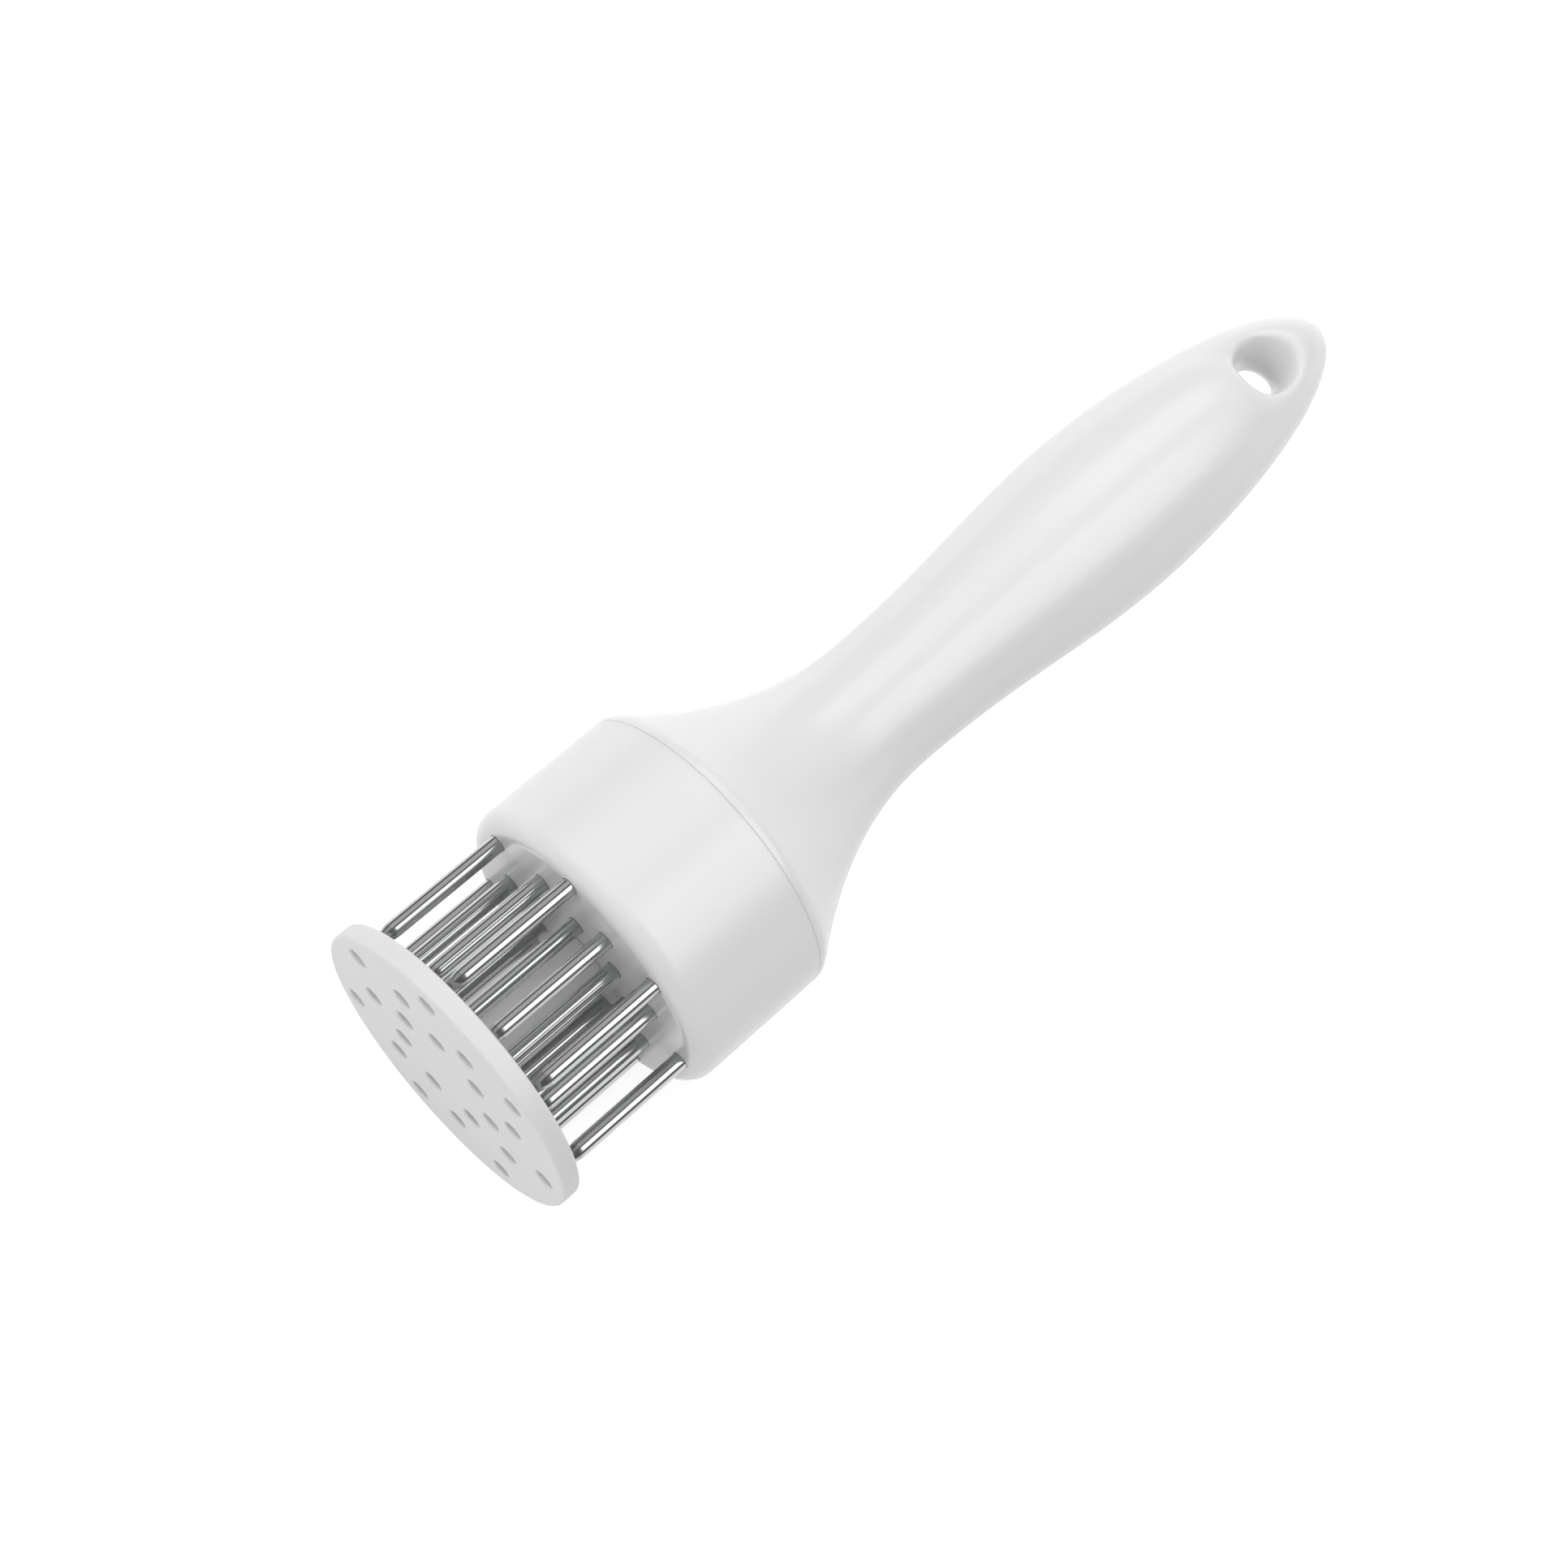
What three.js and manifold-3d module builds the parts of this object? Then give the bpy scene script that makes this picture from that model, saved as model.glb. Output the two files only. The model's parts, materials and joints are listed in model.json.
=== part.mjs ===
// A needle meat tenderizer, lying on its side with its press plate towards -X and its handle along +X.
// Pushing the handle down on meat slides the press plate up its post, and the needles come through it.

import * as THREE from "three";
import { mergeVertices } from "three/addons/utils/BufferGeometryUtils.js";
import Module from "manifold-3d";

const wasm = await Module();
wasm.setup();

// Driving dimensions, in millimetres. A height runs along the tool from the press plate's outer face.

const overallLength = 190.5;
const bodyDiameter = 50; // the press plate, the head and the handle's shoulder share it

// Clearances
const seatGap = 0.3; // between two pieces that lie on each other
const slidingFit = 0.3; // all round the post, and round each needle in the press plate
const socketFit = 0.3; // all round what is dropped or pushed into the head
const threadFit = 0.3; // all round the screw's shank
const cutOverrun = 1; // how far a cutter runs past what it cuts

// Press plate and its post
const plateThickness = 3.4;
const plateEdgeRound = 0.6;
const pressGap = 23.2; // from the plate's inner face to the head, which is the way it can slide
const postDiameter = 10;

// Head
const headHeight = 24.2; // from its needle face to the seam with the handle
const headFloor = 8; // the thick block that holds the needles upright
const headWall = 1.7;
const headEdgeRound = 3.2;
const collarWall = 1.9; // the collar inside the head that guides the post
const collarRise = 1; // how far it stands above the clamp disc

// Needles
const needleDiameter = 2.7;
const needleHeadDiameter = 4;
const needleHeadThickness = 1.2;
const needlePointLength = 5.4;
const needleRecess = 1; // how far the points stay back inside the press plate
const needlesPerRing = 7;
const collarClearance = 0.5; // from the collar to the nearest needle heads
const patternTurn = THREE.MathUtils.degToRad(10); // of the rings, from the hanging hole's plane
const clampDiscThickness = 2.5;

// Handle
const handleWall = 1.8;
const shoulderLand = 1.2; // straight part between the seam and the flare
const neckDiameter = 22.4;
const neckHeight = 87.5;
const gripDiameter = 29.1;
const gripFromTip = 51.5; // the grip's widest place
const holeFromTip = 16.4;
const holeThroatDiameter = 7;
const holeMouthDiameter = 14.4; // as wide as the cone is at the handle's own radius there
const holeWall = 3; // between the hanging hole and the hollow of the grip
const snapBeadHeight = 0.5;
const snapBeadWidth = 1.6;
const snapBeadDepth = 6; // below the seam

// Spring, with its seat in the handle, and the stop on the end of the post
const springWire = 0.8;
const springDiameter = 10.4; // to the middle of the wire
const springTurns = 9;
const springEndGap = 0.5; // between the close turns at each end
const springSeatHeight = 80;
const springSeatThickness = 5;
const springSeatBore = 8.4;
const washerDiameter = 13.6;
const washerThickness = 1;
const screwDiameter = 3;
const screwLength = 8;
const screwHeadDiameter = 6.4;
const screwHeadHeight = 2.2;
const pilotSpare = 1; // below the screw's end

// Shares of the spans that the handle's outline follows
const flareMiddleShare = 0.5;
const riseStartShare = 0.43;
const riseEndShare = 0.34;
const tipStartShare = 0.354;
const tipEndShare = 0.006;
const tipFullnessShare = 0.686;
const middleRingShare = 0.504; // of the way from the inner ring of needles to the outer one

// Fineness of the faceted shapes
const bodySegments = 40;
const holeSegments = 20;
const needleSegments = 12;
const edgeSteps = 3;
const flareSteps = 8;
const riseSteps = 6;
const tipSteps = 12;
const wireSides = 5;
const stepsPerTurn = 8;

const at = (radius, height) => new THREE.Vector2(radius, height);
const between = (a, b, share) => a + (b - a) * share;

// Heights and radii that follow from them
const bodyRadius = bodyDiameter / 2;
const postRadius = postDiameter / 2;
const postBoreRadius = postRadius + slidingFit;
const headFaceHeight = plateThickness + pressGap;
const floorTop = headFaceHeight + headFloor;
const seamHeight = headFaceHeight + headHeight;
const headBoreRadius = bodyRadius - headWall;
const needleHeadBottom = floorTop + seatGap;
const needleHeadTop = needleHeadBottom + needleHeadThickness;
const clampDiscBottom = needleHeadTop + seatGap;
const clampDiscTop = clampDiscBottom + clampDiscThickness;
const collarRadius = postBoreRadius + collarWall;
const collarTop = clampDiscTop + collarRise;
const needleHeadRadius = needleHeadDiameter / 2;
const innerRingRadius = collarRadius + collarClearance + needleHeadRadius;
const outerRingRadius = headBoreRadius - socketFit - needleHeadRadius;
const middleRingRadius = between(innerRingRadius, outerRingRadius, middleRingShare);
const snapHeight = seamHeight - snapBeadDepth;
const spigotEnd = clampDiscTop + seatGap;
const spigotRadius = headBoreRadius - socketFit;
const spigotBoreRadius = spigotRadius - handleWall;
const shoulderHeight = seamHeight + shoulderLand;
const neckRadius = neckDiameter / 2;
const gripRadius = gripDiameter / 2;
const gripHeight = overallLength - gripFromTip;
const holeHeight = overallLength - holeFromTip;
const throatRadius = holeThroatDiameter / 2;
const mouthRadius = holeMouthDiameter / 2;
const cavityTop = holeHeight - mouthRadius - holeWall;
const springSeatTop = springSeatHeight + springSeatThickness;
const washerBottom = collarTop + seatGap;
const washerTop = washerBottom + washerThickness;
const shankRadius = screwDiameter / 2;
const pilotRadius = shankRadius + threadFit;
const screwHeadBottom = washerTop + seatGap;
const screwEnd = screwHeadBottom - screwLength;

// A closed geometry as a solid that can be joined and cut
function solidOf(geometry) {
  const bare = new THREE.BufferGeometry();
  bare.setAttribute("position", geometry.getAttribute("position"));
  bare.setIndex(geometry.index);
  const merged = mergeVertices(bare);
  const mesh = new wasm.Mesh({
    numProp: 3,
    vertProperties: merged.attributes.position.array,
    triVerts: new Uint32Array(merged.index.array),
  });
  return new wasm.Manifold(mesh);
}

// A solid's surface as a geometry
function geometryOf(solid) {
  const { vertProperties, triVerts } = solid.getMesh();
  const geometry = new THREE.BufferGeometry();
  geometry.setAttribute("position", new THREE.BufferAttribute(vertProperties, 3));
  geometry.setIndex(new THREE.BufferAttribute(triVerts, 1));
  geometry.computeVertexNormals();
  return geometry;
}

// A profile of radii and heights turned round the tool's axis. The flats, not the corners, lie at the named
// radii, and a flat faces each way across, so that the part lies steady.
function turned(profile, segments) {
  const toCorner = 1 / Math.cos(Math.PI / segments);
  const corners = profile.map((point) => at(point.x * toCorner, point.y));
  return new THREE.LatheGeometry(corners, segments, Math.PI / segments).rotateX(Math.PI / 2);
}

// A quarter round from one point to another, its middle swung out towards the corner that they would meet in
function quarterRound(from, corner, to) {
  const centre = from.clone().add(to).sub(corner);
  return Array.from({ length: edgeSteps + 1 }, (_, step) => {
    const angle = ((step / edgeSteps) * Math.PI) / 2;
    const start = from.clone().sub(centre).multiplyScalar(Math.cos(angle));
    const end = to.clone().sub(centre).multiplyScalar(Math.sin(angle));
    return centre.clone().add(start).add(end);
  });
}

// A straight round rod along the tool, as a cutter or a shank
function rod(radius, bottom, top, segments) {
  return turned([at(0, bottom), at(radius, bottom), at(radius, top), at(0, top)], segments);
}

// A flat ring round the axis
function ring(boreRadius, radius, bottom, top) {
  const profile = [at(boreRadius, bottom), at(radius, bottom), at(radius, top), at(boreRadius, top)];
  return turned([...profile, profile[0]], bodySegments);
}

// The needles' places: three rings, the middle one half a step round from the others
function needlePlaces() {
  const rings = [innerRingRadius, middleRingRadius, outerRingRadius];
  const step = (2 * Math.PI) / needlesPerRing;
  return rings.flatMap((radius, row) => {
    const start = patternTurn + (row % 2) * (step / 2);
    return Array.from({ length: needlesPerRing }, (_, n) => {
      const angle = start + n * step;
      return at(radius * Math.cos(angle), radius * Math.sin(angle));
    });
  });
}

// One drill through a wall at every needle's place
function needleDrill(bottom, top) {
  const radius = needleDiameter / 2 + slidingFit;
  const drills = needlePlaces().map((place) => {
    const drill = rod(radius, bottom - cutOverrun, top + cutOverrun, needleSegments);
    return solidOf(drill.translate(place.x, place.y, 0));
  });
  return wasm.Manifold.union(drills);
}

function pressPlate() {
  const edge = plateEdgeRound;
  const outer = quarterRound(at(bodyRadius - edge, 0), at(bodyRadius, 0), at(bodyRadius, edge));
  const inner = quarterRound(
    at(bodyRadius, plateThickness - edge),
    at(bodyRadius, plateThickness),
    at(bodyRadius - edge, plateThickness),
  );
  const pilotEnd = screwEnd - pilotSpare;
  const post = [
    at(postRadius, plateThickness),
    at(postRadius, collarTop),
    at(pilotRadius, collarTop),
    at(pilotRadius, pilotEnd),
    at(0, pilotEnd),
  ];
  const blank = turned([at(0, 0), ...outer, ...inner, ...post], bodySegments);
  return geometryOf(solidOf(blank).subtract(needleDrill(0, plateThickness)));
}

// A bead round the handle's spigot, or the groove for it in the head: three points at a radius
function snapProfile(radius) {
  const half = snapBeadWidth / 2;
  return [
    at(radius, snapHeight - half),
    at(radius + snapBeadHeight, snapHeight),
    at(radius, snapHeight + half),
  ];
}

function headShell() {
  const edge = headEdgeRound;
  const lowerEdge = quarterRound(
    at(bodyRadius - edge, headFaceHeight),
    at(bodyRadius, headFaceHeight),
    at(bodyRadius, headFaceHeight + edge),
  );
  const rimTop = seamHeight - seatGap / 2;
  const profile = [
    at(postBoreRadius, headFaceHeight),
    ...lowerEdge,
    at(bodyRadius, rimTop),
    at(headBoreRadius, rimTop),
    ...snapProfile(headBoreRadius).reverse(),
    at(headBoreRadius, floorTop),
    at(collarRadius, floorTop),
    at(collarRadius, collarTop),
    at(postBoreRadius, collarTop),
  ];
  const blank = turned([...profile, profile[0]], bodySegments);
  return geometryOf(solidOf(blank).subtract(needleDrill(headFaceHeight, floorTop)));
}

// A needle stands on its head in the head's floor and ends in a ground point inside the press plate
function needle() {
  const radius = needleDiameter / 2;
  const profile = [
    at(0, needleRecess),
    at(radius, needleRecess + needlePointLength),
    at(radius, needleHeadBottom),
    at(needleHeadRadius, needleHeadBottom),
    at(needleHeadRadius, needleHeadTop),
    at(0, needleHeadTop),
  ];
  return turned(profile, needleSegments);
}

// The outside of the handle from its shoulder to its tip: a flare, a rise to the grip and a blunt end
function handleOutline() {
  const flare = new THREE.QuadraticBezierCurve(
    at(bodyRadius, shoulderHeight),
    at(neckRadius, between(shoulderHeight, neckHeight, flareMiddleShare)),
    at(neckRadius, neckHeight),
  );
  const rise = new THREE.CubicBezierCurve(
    at(neckRadius, neckHeight),
    at(neckRadius, between(neckHeight, gripHeight, riseStartShare)),
    at(gripRadius, between(gripHeight, neckHeight, riseEndShare)),
    at(gripRadius, gripHeight),
  );
  const tip = new THREE.CubicBezierCurve(
    at(gripRadius, gripHeight),
    at(gripRadius, between(gripHeight, overallLength, tipStartShare)),
    at(gripRadius * tipFullnessShare, between(overallLength, gripHeight, tipEndShare)),
    at(0, overallLength),
  );
  return [
    ...flare.getPoints(flareSteps),
    ...rise.getPoints(riseSteps).slice(1),
    ...tip.getPoints(tipSteps).slice(1),
  ];
}

// The handle's outer radius at a height
function radiusAt(outline, height) {
  const above = outline.findIndex((point) => point.y >= height);
  const low = outline[above - 1];
  const high = outline[above];
  return between(low.x, high.x, (height - low.y) / (high.y - low.y));
}

// The hollow inside the handle, from its closed end down to the spigot's mouth, with the spring's seat on the way
function handleHollow(outline) {
  const inside = (radius) => Math.min(radius - handleWall, spigotBoreRadius);
  const wallAt = (height) => at(inside(radiusAt(outline, height)), height);
  const wallPoints = (low, high) =>
    outline
      .filter((point) => point.y > low && point.y < high)
      .map((point) => at(inside(point.x), point.y))
      .reverse();
  const seatBoreRadius = springSeatBore / 2;
  return [
    at(0, cavityTop),
    wallAt(cavityTop),
    ...wallPoints(springSeatTop, cavityTop),
    wallAt(springSeatTop),
    at(seatBoreRadius, springSeatTop),
    at(seatBoreRadius, springSeatHeight),
    wallAt(springSeatHeight),
    ...wallPoints(shoulderHeight, springSeatHeight),
    at(spigotBoreRadius, spigotEnd),
  ];
}

// The hanging hole opens like a funnel towards both sides of the handle, from a narrow throat in the middle
function hangingHoleCutter(surfaceRadius) {
  const reach = gripRadius + cutOverrun;
  const endRadius = between(throatRadius, mouthRadius, reach / surfaceRadius);
  const profile = [at(0, -reach), at(endRadius, -reach), at(throatRadius, 0), at(endRadius, reach), at(0, reach)];
  const cutter = turned(profile, holeSegments);
  return solidOf(cutter.rotateY(Math.PI / 2).translate(0, 0, holeHeight));
}

function handle() {
  const outline = handleOutline();
  const landBottom = seamHeight + seatGap / 2;
  const spigot = [
    at(spigotRadius, spigotEnd),
    ...snapProfile(spigotRadius),
    at(spigotRadius, landBottom),
    at(bodyRadius, landBottom),
  ];
  const blank = turned([...handleHollow(outline), ...spigot, ...outline], bodySegments);
  const cutter = hangingHoleCutter(radiusAt(outline, holeHeight));
  return geometryOf(solidOf(blank).subtract(cutter));
}

function stopScrew() {
  const headRadius = screwHeadDiameter / 2;
  const profile = [
    at(0, screwEnd),
    at(shankRadius, screwEnd),
    at(shankRadius, screwHeadBottom),
    at(headRadius, screwHeadBottom),
    at(headRadius, screwHeadBottom + screwHeadHeight),
    at(0, screwHeadBottom + screwHeadHeight),
  ];
  return turned(profile, holeSegments);
}

// The middle of the spring's wire, step by step: one close turn at each end and open turns between
function springPath() {
  const low = washerTop + seatGap + springWire / 2;
  const high = springSeatHeight - seatGap - springWire / 2;
  const endPitch = springWire + springEndGap;
  const openTurns = springTurns - 2;
  const openPitch = (high - low - 2 * endPitch) / openTurns;
  return Array.from({ length: springTurns * stepsPerTurn + 1 }, (_, step) => {
    const turns = step / stepsPerTurn;
    const open = THREE.MathUtils.clamp(turns - 1, 0, openTurns);
    const angle = turns * 2 * Math.PI;
    const radius = springDiameter / 2;
    const height = low + (turns - open) * endPitch + open * openPitch;
    return new THREE.Vector3(radius * Math.cos(angle), radius * Math.sin(angle), height);
  });
}

// The spring as one unbroken tube with closed ends
function returnSpring(path) {
  const wireRadius = springWire / 2;
  const up = new THREE.Vector3(0, 0, 1);
  const corners = path.flatMap((middle) => {
    const outward = new THREE.Vector3(middle.x, middle.y, 0).normalize();
    return Array.from({ length: wireSides }, (_, side) => {
      const angle = (side / wireSides) * 2 * Math.PI;
      const across = outward.clone().multiplyScalar(wireRadius * Math.cos(angle));
      return across.addScaledVector(up, wireRadius * Math.sin(angle)).add(middle);
    });
  });
  const faces = [];
  for (let step = 0; step < path.length - 1; step++) {
    for (let side = 0; side < wireSides; side++) {
      const a = step * wireSides + side;
      const b = step * wireSides + ((side + 1) % wireSides);
      faces.push(a, a + wireSides, b, b, a + wireSides, b + wireSides);
    }
  }
  const last = (path.length - 1) * wireSides;
  for (let side = 1; side < wireSides - 1; side++) {
    faces.push(0, side, side + 1);
    faces.push(last, last + side + 1, last + side);
  }
  const geometry = new THREE.BufferGeometry().setFromPoints(corners);
  geometry.setIndex(faces);
  geometry.computeVertexNormals();
  return geometry;
}

// The least free gap between two turns of the spring, measured on the wire's own points
function leastGap(path) {
  let least = Infinity;
  for (let i = 0; i < path.length; i++) {
    for (let j = i + stepsPerTurn / 2; j < path.length; j++) {
      least = Math.min(least, path[i].distanceTo(path[j]) - springWire);
    }
  }
  return least;
}

// Materials, by the colours in the photograph
const whitePlastic = new THREE.MeshStandardMaterial({ color: "#e8e9e8", roughness: 0.25, metalness: 0 });
const polishedSteel = new THREE.MeshStandardMaterial({ color: "#c9ccce", roughness: 0.12, metalness: 1 });
const brushedSteel = new THREE.MeshStandardMaterial({ color: "#b4b7b9", roughness: 0.35, metalness: 1 });

function piece(name, geometry, material) {
  const mesh = new THREE.Mesh(geometry, material);
  mesh.name = name;
  return mesh;
}

const springMiddle = springPath();
console.log("least gap between the spring's turns, mm:", leastGap(springMiddle).toFixed(2));

// The tool stands on its press plate in its own group, which is then laid along +X
const tool = new THREE.Group();
const washerBoreRadius = shankRadius + threadFit;
const discBoreRadius = collarRadius + socketFit;
tool.add(
  piece("handle", handle(), whitePlastic),
  piece("head_shell", headShell(), whitePlastic),
  piece("press_plate", pressPlate(), whitePlastic),
  piece("needle_clamp_disc", ring(discBoreRadius, spigotRadius, clampDiscBottom, clampDiscTop), brushedSteel),
  piece("return_spring", returnSpring(springMiddle), polishedSteel),
  piece("stop_washer", ring(washerBoreRadius, washerDiameter / 2, washerBottom, washerTop), brushedSteel),
  piece("stop_screw", stopScrew(), brushedSteel),
);
needlePlaces().forEach((place, n) => {
  const one = piece("needle_" + String(n + 1).padStart(2, "0"), needle(), polishedSteel);
  one.position.set(place.x, place.y, 0);
  tool.add(one);
});
tool.rotation.y = Math.PI / 2;
tool.position.set(-overallLength / 2, 0, bodyRadius);

const part = new THREE.Group();
part.add(tool);

export default part;
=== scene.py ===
# %% [markdown]
# # A needle meat tenderizer
# The tool lies on its side: a white press plate at the left end, 21 steel needles, a white head that holds
# them, and a hollow white handle with a hanging hole near its tip. Pushing the handle down slides the plate
# up its post, and the needles come through it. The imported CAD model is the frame, and every piece here
# is a finer form of one of its nodes, in the same place.

# %% Load the frame
import json
import math

import bmesh
import bpy
from mathutils import Matrix, Vector

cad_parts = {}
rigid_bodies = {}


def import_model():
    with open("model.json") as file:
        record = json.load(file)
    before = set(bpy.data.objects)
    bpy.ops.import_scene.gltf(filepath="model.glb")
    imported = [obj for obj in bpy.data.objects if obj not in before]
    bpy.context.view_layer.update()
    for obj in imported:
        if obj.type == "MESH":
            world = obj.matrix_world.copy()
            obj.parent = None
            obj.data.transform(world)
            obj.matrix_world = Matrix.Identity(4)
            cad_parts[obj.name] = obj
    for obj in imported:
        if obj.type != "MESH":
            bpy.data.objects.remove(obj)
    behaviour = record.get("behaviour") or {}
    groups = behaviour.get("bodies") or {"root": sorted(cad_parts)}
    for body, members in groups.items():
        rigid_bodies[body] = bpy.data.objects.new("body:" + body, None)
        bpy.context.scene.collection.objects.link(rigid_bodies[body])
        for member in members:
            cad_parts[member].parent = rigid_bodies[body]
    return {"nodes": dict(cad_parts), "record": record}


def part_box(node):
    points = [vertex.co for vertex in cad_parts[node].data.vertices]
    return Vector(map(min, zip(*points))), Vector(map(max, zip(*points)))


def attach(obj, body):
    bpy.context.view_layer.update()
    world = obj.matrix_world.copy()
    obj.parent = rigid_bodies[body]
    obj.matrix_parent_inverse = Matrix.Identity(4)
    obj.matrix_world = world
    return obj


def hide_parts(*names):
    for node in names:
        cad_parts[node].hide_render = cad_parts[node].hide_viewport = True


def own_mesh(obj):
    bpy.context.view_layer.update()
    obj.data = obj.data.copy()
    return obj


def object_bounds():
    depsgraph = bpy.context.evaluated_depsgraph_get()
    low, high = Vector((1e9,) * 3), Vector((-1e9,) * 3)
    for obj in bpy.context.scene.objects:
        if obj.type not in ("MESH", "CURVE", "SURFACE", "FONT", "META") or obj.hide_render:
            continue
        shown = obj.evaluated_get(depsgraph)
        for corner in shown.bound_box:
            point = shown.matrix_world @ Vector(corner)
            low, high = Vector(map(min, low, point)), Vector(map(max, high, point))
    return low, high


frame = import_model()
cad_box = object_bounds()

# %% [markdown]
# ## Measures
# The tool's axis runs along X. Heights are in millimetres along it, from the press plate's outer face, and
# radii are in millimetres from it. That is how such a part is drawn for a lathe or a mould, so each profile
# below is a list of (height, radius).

MM = 0.001
plate_face_x = cad_box[0].x
body_radius = (cad_box[1].y - cad_box[0].y) / 2 / MM
axis_z = cad_box[0].z + body_radius * MM
tool_length = (cad_box[1].x - cad_box[0].x) / MM


def place(height, across=0.0, up=0.0):
    """A point in metres: a height along the tool, and millimetres off its axis along Y and Z."""
    return Vector((plate_face_x + height * MM, across * MM, axis_z + up * MM))


def height_of(x):
    """The height, in millimetres, of a place along X."""
    return (x - plate_face_x) / MM


def ends_of(node):
    """The heights between which a CAD node lies."""
    low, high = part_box(node)
    return height_of(low.x), height_of(high.x)


print("tool length", round(tool_length, 2), "mm, body radius", round(body_radius, 2), "mm")

# %% [markdown]
# ## Turning a profile
# Every white piece is round, so each is drawn as half a section and turned round the axis. One vertex is set
# down and extruded from point to point, and Spin turns the line into a body. The other way, stacking
# scaled rings, gives the same mesh with more rounding error.

# %% Start from nothing selected
def clear_selection():
    """Leaves edit mode with nothing selected, so that the next operator touches only what it should."""
    if bpy.context.object and bpy.context.object.mode != "OBJECT":
        bpy.ops.object.mode_set(mode="OBJECT")
    bpy.ops.object.select_all(action="DESELECT")


def work_on(piece, edit=False):
    """Makes a piece the only selected and active object."""
    clear_selection()
    piece.select_set(True)
    bpy.context.view_layer.objects.active = piece
    if edit:
        bpy.ops.object.mode_set(mode="EDIT")


clear_selection()

# %% Draw a profile and turn it
WELD = 0.001 * MM  # vertices nearer than this are one


def turn(name, profile, steps):
    """A body turned round the tool's axis from a profile of (height, radius) points."""
    clear_selection()
    height, radius = profile[0]
    bpy.ops.mesh.primitive_plane_add(size=MM, location=place(height, 0, radius))
    piece = bpy.context.object
    piece.name = piece.data.name = name
    bpy.ops.object.transform_apply(location=True, rotation=True, scale=True)
    bpy.ops.object.mode_set(mode="EDIT")
    bpy.ops.mesh.select_mode(type="VERT")
    bpy.ops.mesh.select_all(action="SELECT")
    bpy.ops.mesh.merge(type="CENTER")
    for (h0, r0), (h1, r1) in zip(profile, profile[1:]):
        step = ((h1 - h0) * MM, 0, (r1 - r0) * MM)
        bpy.ops.mesh.extrude_region_move(TRANSFORM_OT_translate={"value": step})
    bpy.ops.mesh.select_all(action="SELECT")
    bpy.ops.mesh.spin(steps=steps, angle=2 * math.pi, center=place(0), axis=(1, 0, 0))
    bpy.ops.mesh.select_all(action="SELECT")
    bpy.ops.mesh.remove_doubles(threshold=WELD)
    bpy.ops.mesh.normals_make_consistent(inside=False)
    bpy.ops.object.mode_set(mode="OBJECT")
    return piece


# %% Round a corner
def quarter(start, corner, end, steps):
    """Points of a quarter round from start to end, with its bulge towards the corner."""
    middle = [start[i] + end[i] - corner[i] for i in (0, 1)]
    points = []
    for n in range(steps + 1):
        angle = n / steps * math.pi / 2
        points.append(
            tuple(
                middle[i] + (start[i] - middle[i]) * math.cos(angle) + (end[i] - middle[i]) * math.sin(angle)
                for i in (0, 1)
            )
        )
    return points


print("a quarter round of 1 mm passes", [round(v, 2) for v in quarter((0, 1), (0, 0), (1, 0), 2)[1]])

# %% [markdown]
# ## Picking by place
# In the window a modeller clicks the faces or edges to shape next. Here they are chosen by where they
# lie, which still works when a size changes.

# %% Pick parts of a mesh
def pick(piece, kind, wanted):
    """In edit mode, selects only the elements of a kind for which wanted(place, detail) is true.

    The detail is a face's normal, or the edge or vertex itself. Returns how many are selected.
    """
    bpy.ops.mesh.select_mode(type=kind)
    bpy.ops.mesh.select_all(action="DESELECT")
    mesh = bmesh.from_edit_mesh(piece.data)
    chosen = 0
    if kind == "FACE":
        found = [(face, face.calc_center_median(), face.normal) for face in mesh.faces]
    elif kind == "EDGE":
        found = [(edge, (edge.verts[0].co + edge.verts[1].co) / 2, edge) for edge in mesh.edges]
    else:
        found = [(vertex, vertex.co, vertex) for vertex in mesh.verts]
    for element, at, detail in found:
        if wanted(at, detail):
            element.select_set(True)
            chosen += 1
    mesh.select_flush_mode()
    bmesh.update_edit_mesh(piece.data)
    return chosen


# %% Apply a modifier
def apply_modifier(piece, kind, **settings):
    """Adds a modifier with its settings and applies it."""
    work_on(piece)
    bpy.ops.object.modifier_add(type=kind)
    modifier = piece.modifiers[-1]
    for setting, value in settings.items():
        setattr(modifier, setting, value)
    bpy.ops.object.modifier_apply(modifier=modifier.name)


def cut_away(piece, cutter):
    """Cuts the cutter's shape out of the piece and throws the cutter away."""
    apply_modifier(piece, "BOOLEAN", operation="DIFFERENCE", solver="EXACT", object=cutter)
    bpy.data.objects.remove(cutter)


def smooth(piece, angle):
    """Smooth shading that keeps edges sharper than an angle, with the large flat faces staying flat."""
    work_on(piece)
    bpy.ops.object.shade_smooth_by_angle(angle=math.radians(angle))
    apply_modifier(piece, "WEIGHTED_NORMAL", keep_sharp=True)


# %% [markdown]
# ## Where the needles stand
# The needles' places are read from the frame, so the holes in the plate and the head line up with them.

# %% Needle places
needle_nodes = sorted(name for name in frame["nodes"] if name.startswith("needle_") and name[-1].isdigit())
needle_places = []
for node in needle_nodes:
    low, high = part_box(node)
    needle_places.append(((low.y + high.y) / 2 / MM, ((low.z + high.z) / 2 - axis_z) / MM))
needle_tip, needle_top = ends_of(needle_nodes[0])
needle_radius = 1.35
print(len(needle_places), "needles from height", round(needle_tip, 2), "to", round(needle_top, 2), "mm")

# %% [markdown]
# ## Drilling at every needle
# The holes are cut as a toolmaker's core pins would leave them: one pin is modelled, copied to all 21
# places, joined, and subtracted once. One boolean with all the pins is quicker and cleaner than 21.

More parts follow.
